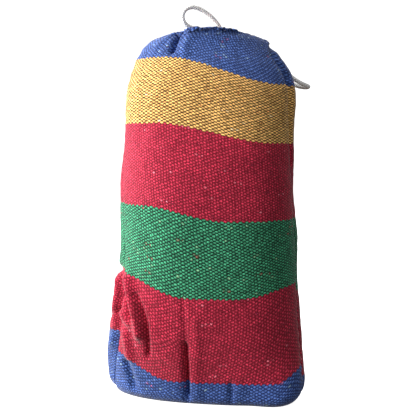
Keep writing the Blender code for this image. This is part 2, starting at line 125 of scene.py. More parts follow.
CORNER_ROUND_Z = (18.0, 1.0)

# ---------------- the cloth
CLOTH = 1.3                 # thickness of the canvas
WARP_PITCH = 2.60           # threads that run up the bag
WEFT_PITCH = 1.45           # threads that run round it, packed closer
ACROSS = 178                # points across a panel
ROW_STEP = 2.3              # distance between rows on the body
MOUTH_STEP = 0.95           # and where the cloth gathers into the mouth
GATHER_Z = 300.0            # the rows stand closer from here up
BASE_ROWS = 16              # rows of the flat base
WIDTH_Z = 190.0             # a panel's width is measured at this height
# Stripes from the bottom up, as counts of weft threads.
STRIPE_ROWS = [("blue", 60), ("crimson", 52), ("green", 50), ("crimson", 56), ("ochre", 44),
               ("blue", 58), ("crimson", 60)]
# The five boundaries on the front: height at the right, rise at the left, and where the rise
# starts and ends, so that the stripes lie a little crooked as they do on a stuffed bag.
BOUNDARIES = [(22, 24, -30, -92), (98, 19.5, -16, -80), (166.5, 13, 20, -55),
              (232, 17.5, 60, -45), (283.5, 24, 66, -40)]
# The two lowest edges also rise at the right: by how much, from where and to where.
RIGHT_RISES = {0: (12, 60, 92), 1: (10, 30, 88)}
BACK_LIFT = 14.0            # the lowest stripe's edge stands higher on the back's left side
BACK_SAG = -7.0             # and all of the back's edges sag between the seams
SHOULDER_Z = 299.0          # the gathers start here
SETTLE = 50.0               # and the weave settles over this distance below them
SHOWN_LEAST = 0.42          # the smallest share of the cloth's threads that shows on a pleat

# ---------------- the drawstring
# The free cord's routes, as in CAD.
CORD = 4.0
CORD_STEP = 0.6             # distance between a cord's rings
KNOT_CENTRE = (20.5, 28.6, 334.4)
KNOT_HALF = (6.4, 5.8, 5.4)
TAIL_KNOT_HALF = (4.6, 4.6, 4.8)
KNOT_CORD = 3.8             # the pulled cord is thinner in its knots
TAIL_KNOT_CORD = 3.1
KNOT_TILT = 0.7             # how far a knot is turned about X, in radians
TAIL_KNOT_TILT = 0.4
BRAID_ROUND = 8             # strands that cross round the cord
BRAID_PITCH = 1.15          # distance between crossings
BRAID_RELIEF = 0.05         # height of a strand as a share of the cord's radius
LOOP_TOP = [
    (15.6, 23.8, 340.6), (11.5, 20.8, 346.2), (5.0, 17.0, 352.2), (-3.0, 13.2, 356.8),
    (-10.8, 9.8, 358.5), (-17.4, 7.8, 356.0), (-20.2, 7.6, 350.4), (-18.6, 9.8, 344.4),
    (-13.0, 13.6, 340.8), (-4.5, 18.4, 340.0), (4.0, 22.8, 339.0), (11.0, 26.2, 337.0),
]
LOOP_SIDE = [
    (27.6, 26.6, 333.8), (34.0, 24.2, 333.0), (43.5, 21.8, 330.2), (54.0, 19.6, 325.4),
    (63.0, 18.6, 317.4), (70.6, 17.8, 308.2), (78.0, 17.0, 299.4), (85.0, 16.4, 293.4),
    (91.6, 17.0, 289.6), (97.0, 19.4, 287.6), (99.4, 24.4, 286.8), (97.0, 29.6, 286.8),
    (91.2, 32.6, 288.0), (84.0, 33.2, 291.0), (76.0, 32.4, 296.4), (66.8, 31.2, 304.0),
    (56.0, 30.8, 312.2), (43.8, 31.0, 319.6), (34.0, 31.8, 325.4), (26.4, 33.8, 330.4),
]
TAIL_LEFT = [
    (15.2, 33.2, 330.0), (12.0, 35.4, 325.6), (9.4, 37.4, 321.4), (5.8, 41.6, 311.4),
    (2.8, 46.8, 299.4), (0.6, 51.2, 286.4), (-0.6, 54.6, 272.8), (-1.1, 58.2, 259.0),
]
TAIL_RIGHT = [
    (21.0, 35.4, 328.6), (22.2, 36.0, 324.0), (24.2, 37.6, 318.4), (27.0, 41.8, 306.4),
    (29.6, 46.4, 293.2), (31.0, 50.6, 279.8), (30.4, 54.8, 266.0),
]

# ---------------- folds and creases
# Creases on the two panels: a path of (x, z), how far it lies below the cloth (a ridge is
# negative), and how wide its left and right flank are.
FRONT_CREASES = [
    ([(-68, 112), (-65.5, 100), (-62, 88), (-59, 76), (-57.5, 64)], -5.8, 4.2, 4.0),
    ([(-60.8, 99), (-56, 89.4), (-51, 74), (-49.8, 60), (-49.5, 46)], 4.4, 2.6, 1.9),
    ([(-71, 62), (-68, 40)], -3.0, 3.2, 4.0),
    ([(-71, 99), (-68.5, 88), (-65, 79)], 4.2, 1.6, 2.0),
    ([(-79, 83), (-72, 79), (-67, 73)], -3.6, 3.0, 3.0),
    ([(-72, 34), (-69, 26), (-66, 14)], 3.8, 2.4, 4.0),
    ([(-18, 98), (-15.5, 60), (-13.6, 6)], 1.3, 4.0, 1.4),
    ([(-15.0, 56), (-14, 36), (-13.4, 8)], 4.0, 4.0, 1.1),
    ([(-7.5, 80), (-7.0, 6)], -1.0, 3.0, 5.0),
    ([(24, 22), (24.5, 3)], 2.6, 3.0, 2.0),
    ([(-18, 334), (-23, 326), (-27.5, 313)], 6.0, 3.4, 1.4),
    ([(-12, 330), (-16, 322), (-18, 312)], -1.8, 4.0, 6.0),
]
BACK_CREASES = [
    ([(40, 120), (46, 92), (44, 60)], 2.0, 2.4, 4.0),
    ([(-30, 84), (-34, 50), (-33, 12)], 1.7, 3.6, 1.8),
    ([(58, 250), (50, 228), (47, 200)], 1.5, 3.0, 2.0),
    ([(-62, 270), (-50, 262), (-40, 248)], 1.4, 2.4, 3.0),
    ([(8, 26), (9, 4)], 1.4, 2.0, 2.4),
    ([(26, 322), (31, 308), (33, 292)], 2.6, 2.2, 2.6),
    ([(-22, 324), (-28, 312), (-31, 300)], 2.8, 2.4, 2.0),
]
STRIP_CREASES = [           # at the left of the back panel, by distance from the seam
    ([(-2, 118), (18, 115), (38, 112)], 5.4, 3.0, 3.2),
    ([(8, 106), (9, 76)], -4.2, 4.2, 4.2),
    ([(8, 68), (7, 46)], -2.6, 4.6, 4.6),
    ([(0, 80), (20, 71), (34, 69)], 2.8, 2.2, 2.2),
    ([(6, 60), (20, 52)], 1.4, 2.4, 2.0),
]
FACING = (-4.0, 10.0)       # the creases fade out between these distances from mid depth
# Where the right seam sinks in, from its own edge, how deep, and the width of its flanks.
RIGHT_FOLD = ([(0, 318), (0, 215)], 5.0, 2.8, 2.8)
# The filled cloth's own unevenness: its depth, the size of its lumps, and a seed.
BODY_LUMPS = [(1.3, 46.0, 8.1), (0.45, 17.0, 2.3)]
FINE_LUMPS = (0.2, 7.0, 5.5)
PUCKER = 0.42               # depth of the puckers along the side seams
PUCKER_PITCH = 9.5
PUCKER_REACH = 6.0
PLEATS = {"front": 13, "back": 7}
# How deep the pleats are at some distances below the hem.
PLEAT_DEPTH = ([-30, -17, -8, 0, 3, 12, 40], [0.5, 0.9, 2.2, 2.6, 2.8, 3.6, 3.6])
LEFT_ROOM = 0.8             # how deep a crease may be at the left seam, over the clew cords,
LEFT_ROOM_GROWS = 0.4       # and how much deeper for each millimetre away from it

# ---------------- the stitches
SEAM_STITCH = (3.0, 0.8, 0.9)       # length, gap and diameter
HEM_STITCH = (2.6, 0.8, 1.1)
STITCH_SINK = 1.6           # how deep the stitches lie behind a side seam's edges
STITCH_LOW = 6.0            # height at which they start
STITCH_STEP = 0.5           # distance between the points that a row of stitches follows
STITCH_RINGS = 7
STITCH_SIDES = 8


# ---------------- numbers and curves
def smoothstep(value, low, high):
    share = np.clip((np.asarray(value, dtype=float) - low) / (high - low), 0.0, 1.0)
    return share * share * (3 - 2 * share)


def unit(vectors):
    return vectors / np.maximum(np.linalg.norm(vectors, axis=-1, keepdims=True), 1e-9)


def curve_at(stations, values, wanted):
    """A smooth curve through values at rising stations, read at the wanted stations."""
    slopes = np.gradient(values, stations, axis=0)
    k = np.clip(np.searchsorted(stations, wanted, side="right") - 1, 0, len(stations) - 2)
    span = (stations[k + 1] - stations[k])[:, None]
    s = (wanted - stations[k])[:, None] / span
    return ((2 * s**3 - 3 * s**2 + 1) * values[k] + (s**3 - 2 * s**2 + s) * span * slopes[k]
            + (3 * s**2 - 2 * s**3) * values[k + 1] + (s**3 - s**2) * span * slopes[k + 1])


def along(line):
    """The distance of each point of a line from its start."""
    steps = np.linalg.norm(np.diff(line, axis=0), axis=1)
    return np.concatenate([[0.0], np.cumsum(steps)])


def points_at(line, length, wanted):
    """A line's points at the wanted distances, given the distance of each of its own points."""
    return np.stack([np.interp(wanted, length, line[:, i]) for i in range(3)], axis=1)


def evenly(line, spacing):
    """A line's points again, at an even spacing."""
    line = np.asarray(line, dtype=float)
    length = along(line)
    count = max(2, round(length[-1] / spacing) + 1)
    return points_at(line, length, np.linspace(0.0, length[-1], count))


def smooth_line(points, spacing, closed=False):
    """Points at an even spacing on the Catmull-Rom curve through the given points."""
    given = [np.array(p, dtype=float) for p in points]
    if closed:
        given = [given[-1]] + given + given[:2]
    else:
        given = [2 * given[0] - given[1]] + given + [2 * given[-1] - given[-2]]
    fine = []
    for a, b, c, d in zip(given, given[1:], given[2:], given[3:]):
        for s in np.arange(0.0, 1.0, 1 / 24):
            bend = (2 * a - 5 * b + 4 * c - d) * s**2 + (3 * b - a - 3 * c + d) * s**3
            fine.append((2 * b + (c - a) * s + bend) / 2)
    fine.append(given[-2])
    return evenly(fine, spacing)


def lumps(points, size, seed):
    """Smooth noise from -1 to 1 at some points, with lumps of a size in millimetres."""
    flat = points.reshape(-1, 3) / size + seed
    found = [noise.noise(Vector(p)) for p in flat]
    return np.array(found).reshape(points.shape[:-1])


# ---------------- the cloth's smooth shape
def key_rows():
    """The CAD outlines from the foot to the hem's leg, with the half gap at the slit."""
    foot = OUTLINES[0]
    rows = []
    for turn in range(0, 86, 6):
        inset = EDGE * (1 - math.sin(math.radians(turn)))
        height = EDGE * (1 - math.cos(math.radians(turn)))
        rows.append([height, foot[1] + inset, foot[2] - inset, foot[3] + inset,
                     foot[4] - inset, *foot[5:]])
    body_starts = len(rows)
    rows += [list(row) for row in OUTLINES]
    top = OUTLINES[-1][0]
    rows = [row + [FRONT_LIFT * max(0.0, (row[0] - LIFT_FROM) / (top - LIFT_FROM))]
            for row in rows]
    gaps = [SEAM_HALF_GAP] * (len(rows) - 3) + SLIT_OPENS
    mouth_starts = len(rows)
    hem = [(CASING_RING + CASING_TUBE * math.cos(math.radians(turn)),
            CASING_Z + CASING_TUBE * math.sin(math.radians(turn))) for turn in range(0, 219, 14)]
    for radius, height, lift in MOUTH_DIP + [(*point, 0.0) for point in hem + HEM_LEG]:
        rows.append([height, MOUTH_X - radius, MOUTH_X + radius, -radius, radius, 2.0, -180,
                     SLIT_ANGLE, lift])
    gaps += [SLIT_HALF] * (len(rows) - len(gaps))
    rows = np.array([row + [gap] for row, gap in zip(rows, gaps)], dtype=float)
    return rows, body_starts, mouth_starts


def cloth_rows():
    """Rows close enough for cloth, how far each lies below the hem, and which are on the body."""
    keys, body_starts, mouth_starts = key_rows()
    profile = np.stack([keys[:, 2], keys[:, 3] * 0.5, keys[:, 0]], axis=1)
    stations = along(profile)
    shoulder = np.interp(GATHER_Z, keys[body_starts:mouth_starts, 0],
                         stations[body_starts:mouth_starts])
    body = np.arange(0.0, shoulder, ROW_STEP)
    gathers = np.arange(shoulder, stations[-1], MOUTH_STEP)
    wanted = np.concatenate([body, gathers, [stations[-1]]])
    rows = curve_at(stations, keys, wanted)
    below_hem = stations[mouth_starts + len(MOUTH_DIP)] - wanted
    return rows, below_hem, wanted < stations[mouth_starts - 1]


def outline_points(row, angles):
    """Points of one outline at some angles in degrees; the front is at -90."""
    height, left, right, front, back, power, _, _, lift = row[:9]
    c = np.cos(np.radians(angles))
    s = np.sin(np.radians(angles))
    centre = (left + right) / 2
    x = centre + (right - left) / 2 * np.sign(c) * np.abs(c) ** (2 / power)
    y = np.where(s < 0, -front, back) * np.sign(s) * np.abs(s) ** (2 / power)
    skew = SKEW * min(1.0, max(0.0, (CASING_Z - height) / SKEW_FADE))
    skew += BASE_SKEW * max(0.0, 1 - height / BASE_SKEW_TOP)
    return np.stack([x, y - skew * (x - centre), height + lift * y / front], axis=-1)


def gap_angle(row, angle, gap):
    """The angle that a gap in millimetres takes up along an outline."""
    near = outline_points(row, np.array([angle - 0.5, angle + 0.5]))
    return gap / np.linalg.norm(near[1] - near[0])


def drawn_in(row, points):
    """An outline's points after both side seams have drawn the cloth in."""
    middle = (row[1] + row[2]) / 2
    for angle, valley in ((row[6], LEFT_VALLEY), (row[7], RIGHT_VALLEY)):
        depth = np.interp(row[0], *valley)
        seam = outline_points(row, np.array([angle]))[0]
        inward = unit(np.array([middle - seam[0], -PULL_LEAN * seam[1], 0.0]))
        near = np.linalg.norm(points - seam, axis=1) / VALLEY_REACH
        points = points + inward * (depth * np.exp(-near * near))[:, None]
    return points


def panel_line(row, side, roll):
    """One row of a panel's smooth outer face, from seam to seam, short by the edges' roll."""
    left_gap = gap_angle(row, row[6], SEAM_HALF_GAP)
    right_gap = gap_angle(row, row[7], row[9])
    if side == "front":
        start, end = row[6] + left_gap, row[7] - right_gap
    else:
        start, end = row[6] + 360 - left_gap, row[7] + right_gap
    fine = drawn_in(row, outline_points(row, np.linspace(start, end, 721)))
    length = along(fine)
    return points_at(fine, length, np.linspace(roll, length[-1] - roll, ACROSS))


def base_lines(foot_line, foot_row, side):
    """The flat base of a panel, from the bottom seam to the foot."""
    ends = []
    for angle in (foot_row[6], foot_row[7]):
        ends.append(drawn_in(foot_row, outline_points(foot_row, np.array([angle])))[0])
    inset = unit(ends[1] - ends[0]) * BOTTOM_SEAM_INSET
    share = np.linspace(0.0, 1.0, ACROSS)[:, None]
    seam = (ends[0] + inset) * (1 - share) + (ends[1] - inset) * share
    away = SEAM_HALF_GAP + SEAM_ROLL
    seam[:, 1] += -away if side == "front" else away
    return [seam + (foot_line - seam) * k / BASE_ROWS for k in range(BASE_ROWS)]


def smooth_panel(side):
    """A panel's smooth face as rows of points, with what is known of each row."""
    rows, below_hem, on_body = cloth_rows()
    roll = np.where(on_body, SEAM_ROLL, MOUTH_ROLL)
    lines = [panel_line(row, side, r) for row, r in zip(rows, roll)]
    base = base_lines(lines[0], rows[0], side)
    count = len(base)
    grid = np.array(base + lines)
    below_hem = np.concatenate([np.full(count, below_hem[0]), below_hem])
    on_body = np.concatenate([np.zeros(count, bool), on_body])
    roll = np.concatenate([np.full(count, SEAM_ROLL), roll])
    return grid, below_hem, on_body, roll


def outward(grid, side):
    """The direction straight out of the cloth at each point."""
    normal = unit(np.cross(np.gradient(grid, axis=1), np.gradient(grid, axis=0)))
    return normal if side == "front" else -normal


def with_corner(points):
    """Points of the foot after its right corner has been pushed forward."""
    moved = np.array(points, dtype=float)
    corner = smoothstep(moved[..., 0], *CORNER_X) * smoothstep(moved[..., 2], *CORNER_Z)
    moved[..., 1] -= CORNER_FORWARD * corner
    moved[..., 0] -= CORNER_ROUND * corner * smoothstep(moved[..., 2], *CORNER_ROUND_Z)
    return moved


def seam_distances(grid):
    """How far each point lies along its row from the left seam, and from the right seam."""
    steps = np.linalg.norm(np.diff(grid, axis=1), axis=2)
    from_left = np.concatenate([np.zeros((len(grid), 1)), np.cumsum(steps, axis=1)], axis=1)
    return from_left, from_left[:, -1:] - from_left


# ---------------- the cloth's relief
def crease(x, z, path, depth, left, right):
    """How far a crease along a path of (x, z) moves the cloth outwards."""
    best = np.full(x.shape, 1e9)
    side = np.zeros(x.shape)
    for (ax, az), (bx, bz) in zip(path, path[1:]):
        dx, dz = bx - ax, bz - az
        length = math.hypot(dx, dz)
        share = np.clip(((x - ax) * dx + (z - az) * dz) / length**2, 0.0, 1.0)
        gap = np.hypot(x - ax - share * dx, z - az - share * dz)
        cross = ((x - ax) * dz - (z - az) * dx) / length
        nearer = gap < best
        best = np.where(nearer, gap, best)
        side = np.where(nearer, cross, side)
    # A path runs downwards, so a positive cross product lies on its left, at a smaller x.
    width = left + (right - left) * smoothstep(side, 0.8, -0.8)
    return -depth * np.exp(-(best / width) ** 2)


def pleats(side, rng):
    """The pleats of one panel: their edges as shares of its width, their reach and depth."""
    count = PLEATS[side]
    widths = rng.uniform(0.6, 1.4, count)
    edges = np.concatenate([[0.0], np.cumsum(widths) / widths.sum()])
    reach = rng.uniform(9.0, 26.0, count)
    reach[rng.permutation(count)[: count // 4]] *= 2.0
    depth = rng.uniform(0.7, 1.2, count)
    return edges, reach, depth


def gathered(grid, below_hem, side, rng):
    """How far the pleats round the mouth move the cloth outwards, and the pleats' edges."""
    edges, reach, depth = pleats(side, rng)
    share = np.linspace(0.0, 1.0, ACROSS)[None, :] * np.ones((len(grid), 1))
    sway = lumps(grid * [1, 1, 2.5], 22.0, 3.7) * 0.014
    share = np.clip(share + sway * smoothstep(below_hem, -4, 12)[:, None], 0.0, 0.99999)
    k = np.clip(np.searchsorted(edges, share, side="right") - 1, 0, len(reach) - 1)
    p = (share - edges[k]) / (edges[k + 1] - edges[k])
    ridge = np.sin(np.pi * p) ** 0.6
    down = np.maximum(below_hem, 0.0)[:, None]
    fade = np.exp(-(down / reach[k]) ** 1.4)
    height = np.interp(below_hem, *PLEAT_DEPTH)
    return height[:, None] * depth[k] * (ridge - 0.6) * fade, edges


def folds(grid, below_hem, side, rng):
    """How far the cloth stands out from its smooth face, and the edges of its pleats."""
    x, y, z = grid[..., 0], grid[..., 1], grid[..., 2]
    standing = smoothstep(z, 1.0, 12.0)
    low = smoothstep(below_hem, 2.0, 30.0)[:, None]
    moved = sum(depth * lumps(grid, size, seed) for depth, size, seed in BODY_LUMPS) * low
    depth, size, seed = FINE_LUMPS
    moved = moved + depth * lumps(grid, size, seed)
    from_left, from_right = seam_distances(grid)
    for distance, seed in ((from_left, 1.0), (from_right, 4.0)):
        uneven = lumps(grid * [0, 0, 1], 30.0, seed)
        pucker = np.sin(2 * np.pi * z / PUCKER_PITCH + 5.0 * uneven)
        moved = moved + PUCKER * pucker * np.exp(-distance / PUCKER_REACH) * low
    facing = smoothstep(-y if side == "front" else y, *FACING)
    if side == "back":
        for path, depth, above, below in STRIP_CREASES:
            moved = moved + crease(from_left, z, path, depth, above, below)
    for path, depth, left, right in FRONT_CREASES if side == "front" else BACK_CREASES:
        moved = moved + crease(x, z, path, depth, left, right) * facing
    moved = np.maximum(moved, -LEFT_ROOM - LEFT_ROOM_GROWS * from_left)
    pleated, edges = gathered(grid, below_hem, side, rng)
    return moved * standing + pleated, edges


def seam_folds(grid):
    """How the right seam sinks into the bag, the same on either panel so that it stays shut."""
    _, from_right = seam_distances(grid)
    deep = -crease(from_right, grid[..., 2], *RIGHT_FOLD)
    centre = np.array([MOUTH_X, 0.0, 0.0])
    return unit(centre - grid * [1, 1, 0]) * deep[..., None]


# ---------------- the cloth's stripes
def stripe_height(k, x, side, left_x, right_x):
    """The height of a stripe's edge on one side of the bag."""
    right, rise, starts, ends = BOUNDARIES[k]
    if side == "front":
        corner, leaves, meets = RIGHT_RISES.get(k, (0, 0, 1))
        return right + rise * smoothstep(x, starts, ends) + corner * smoothstep(x, leaves, meets)
    left = right + rise + (BACK_LIFT if k == 0 else 0.0)
    share = smoothstep(x, left_x, right_x)
    return left + (right - left) * share + BACK_SAG * np.sin(np.pi * share)


def cloth_lengths(grid, on_body, side):
    """Each point's place along the warp, in millimetres of cloth from the bag's bottom seam."""
    steps = np.linalg.norm(np.diff(grid, axis=0), axis=2)
    up = np.concatenate([np.zeros((1, ACROSS)), np.cumsum(steps, axis=0)])
    widths = np.array([rows * WEFT_PITCH for _, rows in STRIPE_ROWS])
    edges = np.cumsum(widths)[: len(BOUNDARIES)]
    body = grid[on_body]
    place = np.empty_like(up)
    for c in range(ACROSS):
        found = []
        for k in range(len(BOUNDARIES)):
            wanted = stripe_height(k, body[:, c, 0], side, body[:, 0, 0].min(), body[:, -1, 0].max())
            found.append(np.interp(0.0, body[:, c, 2] - wanted, up[on_body, c]))
        inside = np.interp(up[:, c], found, edges)
        below = np.minimum(up[:, c] - found[0], 0.0)
        above = np.maximum(up[:, c] - found[-1], 0.0)
        place[:, c] = inside + below + above
    return place


# ---------------- meshes
def new_object(name, points, faces, mat):
    """A smooth-shaded object from points in millimetres."""
    mesh = bpy.data.meshes.new(name)
    mesh.from_pydata([tuple(p) for p in np.asarray(points) * MM], [], faces)
    mesh.materials.append(mat)
    mesh.shade_smooth()
    obj = bpy.data.objects.new(name, mesh)
    bpy.context.collection.objects.link(obj)
    return obj


def set_uv(obj, corners):
    """Gives every corner of every face its place on the cloth or round the cord."""
    layer = obj.data.uv_layers.new(name="UVMap")
    layer.data.foreach_set("uv", np.ascontiguousarray(corners, dtype=np.float32).ravel())


def rolled_edge(line, towards, inward, roll, flange):
    """Lines that turn a panel's edge inwards and carry it on into the bag."""
    lines = []
    for turn in (30, 60, 90):
        out = math.sin(math.radians(turn))
        down = 1 - math.cos(math.radians(turn))
        lines.append(line + (towards * out + inward * down) * roll[:, None])
    for share in (0.4, 1.0):
        lean = towards * (FLANGE_LEAN * share)
        lines.append(lines[2] + inward * (flange * share)[:, None] + lean)
    return lines


def seam_flanges(grid, normal, below_hem, roll):
    """The cloth that turns into the bag at a panel's two side seams, as columns of points."""
    flange = np.where(below_hem > MOUTH_EDGE, SIDE_FLANGE, MOUTH_FLANGE)
    sides = []
    for near, far in ((0, 1), (-1, -2)):
        inward = -normal[:, near]
        towards = grid[:, near] - grid[:, far]
        towards = unit(towards - inward * np.sum(towards * inward, axis=1, keepdims=True))
        sides.append(rolled_edge(grid[:, near], towards, inward, roll, flange))
    return sides


def bottom_flange(line, side):
    """The cloth that turns up into the bag at the bottom seam, as rows of points."""
    up = np.tile([0.0, 0.0, 1.0], (len(line), 1))
    towards = np.tile([0.0, 1.0 if side == "front" else -1.0, 0.0], (len(line), 1))
    roll = np.full(len(line), SEAM_ROLL)
    return rolled_edge(line, towards, up, roll, np.full(len(line), BOTTOM_FLANGE))


def weft_places(grid, width, below, reach):
    """Each point's place along the weft: even in the gathers, its true length below them."""
    across = np.concatenate([-FLANGE_CLOTH[::-1], np.linspace(0.0, width, ACROSS),
                             width + FLANGE_CLOTH])
    length, _ = seam_distances(grid)
    length = length - length[:, grid.shape[1] // 2][:, None] + width / 2
    return across + (length - across) * smoothstep(below, reach, reach + SETTLE)[:, None]


def cloth_panel(side, mat, rng):
    """One canvas panel of the bag as cloth: folded, gathered, and rolled in at its seams."""
    grid, below_hem, on_body, roll = smooth_panel(side)
    grid = with_corner(grid)
    place = cloth_lengths(grid, on_body, side)
    heights = grid[:, ACROSS // 2, 2]
    width = along(grid[np.argmax(on_body & (heights > WIDTH_Z))])[-1]
    widths = np.array([along(line)[-1] for line in grid])
    moved, edges = folds(grid, below_hem, side, rng)
    grid = grid + outward(grid, side) * moved[..., None] + seam_folds(grid)
    normal = outward(grid, side)
    # Cloth that lies on the floor faces straight down.
    normal[grid[..., 2] < FLOOR_SKIN] = (0.0, 0.0, -1.0)

    left, right = seam_flanges(grid, normal, below_hem, roll)
    grid = np.stack([*reversed(left)] + [grid[:, c] for c in range(ACROSS)] + right, axis=1)
    grid = np.concatenate([np.array(bottom_flange(grid[0], side)[::-1]), grid])
    edge = len(left)
    place = np.pad(place, ((0, 0), (edge, edge)), mode="edge")
    place = np.concatenate([place[0] - FLANGE_CLOTH[::-1][:, None], place])
    widths = np.concatenate([np.full(edge, widths[0]), widths])
    below = np.concatenate([np.full(edge, below_hem[0]), below_hem])

    rows, columns = grid.shape[:2]
    r, c = np.meshgrid(np.arange(rows - 1), np.arange(columns - 1), indexing="ij")
    r, c = r.ravel(), c.ravel()
    turns = [(0, 0), (0, 1), (1, 1), (1, 0)]
    if side == "back":
        turns = turns[::-1]
    faces = np.stack([(r + i) * columns + c + j for i, j in turns], axis=1)

    # In the gathers each pleat hides part of the cloth in the valley beside it.
    reach = below_hem[np.argmax(on_body & (heights > SHOULDER_Z))]
    across = weft_places(grid, width, below, reach)
    shoulder = widths[np.argmin(np.abs(below - reach))]
    seen = np.where(below < reach, np.minimum(widths / shoulder, 1.0), 1.0)
    seen = np.maximum(seen, SHOWN_LEAST)
    middles = (edges[1:] + edges[:-1]) / 2 * width
    k = np.clip(np.searchsorted(edges[1:], across[0, c] / width), 0, len(middles) - 1)
    corners = np.empty((len(faces), 4, 2))
    for slot, (i, j) in enumerate(turns):
        corners[:, slot, 0] = middles[k] + (across[r + i, c + j] - middles[k]) * seen[r + i]
        corners[:, slot, 1] = place[r + i, c + j]

    obj = new_object(side + "_canvas", grid.reshape(-1, 3), faces.tolist(), mat)
    set_uv(obj, corners * MM)
    solid = obj.modifiers.new("thickness", "SOLIDIFY")
    solid.thickness = CLOTH * MM
    solid.offset = -1.0
    return obj, grid[edge:, edge], grid[edge:, -edge - 1]


def tube_faces(base, rings, sides, closed=False):
    """The faces between rings of points, which are numbered from base up."""
    faces = []
    for k in range(rings if closed else rings - 1):
        near, far = base + k * sides, base + (k + 1) % rings * sides
        for i in range(sides):
            j = (i + 1) % sides
            faces.append((near + i, near + j, far + j, far + i))
    return faces


def cord_frames(line, closed):
    """Two directions across a line at each point, carried along it without twist."""
    if closed:
        ahead = unit(np.roll(line, -1, axis=0) - np.roll(line, 1, axis=0))
    else:
        ahead = unit(np.gradient(line, axis=0))
    first = np.cross(ahead[0], [0.0, 0.0, 1.0])
    if np.linalg.norm(first) < 0.2:
        first = np.cross(ahead[0], [1.0, 0.0, 0.0])
    across = [first / np.linalg.norm(first)]
    for way in ahead[1:]:
        turned = across[-1] - way * np.dot(across[-1], way)
        across.append(turned / np.linalg.norm(turned))
    across = np.array(across)
    return across, np.cross(ahead, across)


def braided_cord(name, line, diameter, mat, closed=False, sides=28):
    """A braided cord along a line, with its strands raised on the surface."""
    line = np.asarray(line, dtype=float)
    if closed:
        line = line[:-1]
    u, v = cord_frames(line, closed)
    distance = along(line)
    count = len(line)
    rings = []
    turn = 2 * np.pi * np.arange(sides) / sides
    for k in range(count):
        strand = np.cos(BRAID_ROUND * turn / 2) * math.cos(math.pi * distance[k] / BRAID_PITCH)
        radius = diameter / 2 * (1 + BRAID_RELIEF * strand)
        rings.append(line[k] + u[k] * (radius * np.cos(turn))[:, None]
                     + v[k] * (radius * np.sin(turn))[:, None])
    faces = tube_faces(0, count, sides, closed)
    corners = []
    reach = np.append(distance, distance[-1] + np.linalg.norm(line[0] - line[-1]))
    for k in range(len(faces) // sides):
        for i in range(sides):
            x0, x1 = BRAID_ROUND * i / sides, BRAID_ROUND * (i + 1) / sides
            y0, y1 = reach[k] / BRAID_PITCH, reach[k + 1] / BRAID_PITCH
            corners += [(x0, y0), (x1, y0), (x1, y1), (x0, y1)]
    if not closed:
        for start, reverse in ((0, True), ((count - 1) * sides, False)):
            cap = tuple(range(start, start + sides))
            faces.append(cap[::-1] if reverse else cap)
            corners += [(0.0, 0.0)] * sides
    obj = new_object(name, np.concatenate(rings), faces, mat)
    set_uv(obj, np.array(corners))
    return obj


def knotted(name, centre, half, diameter, mat, tilt):
    """A pulled tight knot: a cord that passes over and under itself three times."""
    t = np.linspace(0.0, 2 * np.pi, 13)[:-1]
    loop = np.stack([np.sin(t) + 2 * np.sin(2 * t), np.cos(t) - 2 * np.cos(2 * t),
                     -np.sin(3 * t)], axis=1)
    room = np.array(half) - diameter / 2
    loop = loop / np.abs(loop).max(axis=0) * room
    c, s = math.cos(tilt), math.sin(tilt)
    loop = loop @ np.array([[1, 0, 0], [0, c, s], [0, -s, c]])
    line = smooth_line([p + centre for p in loop], 0.5, closed=True)
    return braided_cord(name, line, diameter, mat, closed=True, sides=20)


def stitches(name, line, length, gap, diameter, mat):
    """A row of stitches along a line: short rounded lengths of thread with gaps between."""
    fine = evenly(line, STITCH_STEP)
    distance = along(fine)
    points = []
    faces = []
    sides = STITCH_SIDES
    for start in np.arange(gap, distance[-1] - length, length + gap):
        middle = points_at(fine, distance, np.linspace(start, start + length, STITCH_RINGS))
        u, v = cord_frames(middle, False)
        base = len(points)
        for k, share in enumerate(np.linspace(-1.0, 1.0, STITCH_RINGS)):
            radius = diameter / 2 * math.sqrt(max(1 - abs(share) ** 4, 0.04))
            for turn in 2 * np.pi * np.arange(sides) / sides:
                points.append(middle[k] + radius * (u[k] * math.cos(turn) + v[k] * math.sin(turn)))
        last = base + (STITCH_RINGS - 1) * sides
        faces += tube_faces(base, STITCH_RINGS, sides)
        faces.append(tuple(range(base + sides - 1, base - 1, -1)))
        faces.append(tuple(range(last, last + sides)))
    return new_object(name, points, faces, mat)


# ---------------- materials
def srgb(red, green, blue):
    """A colour as it looks on a screen, from 0 to 255, in linear light."""
    found = []
    for part in (red, green, blue):
        part = part / 255
        found.append(part / 12.92 if part <= 0.04045 else ((part + 0.055) / 1.055) ** 2.4)
    return (*found, 1.0)


def grey(share):
    return (share, share, share, 1.0)


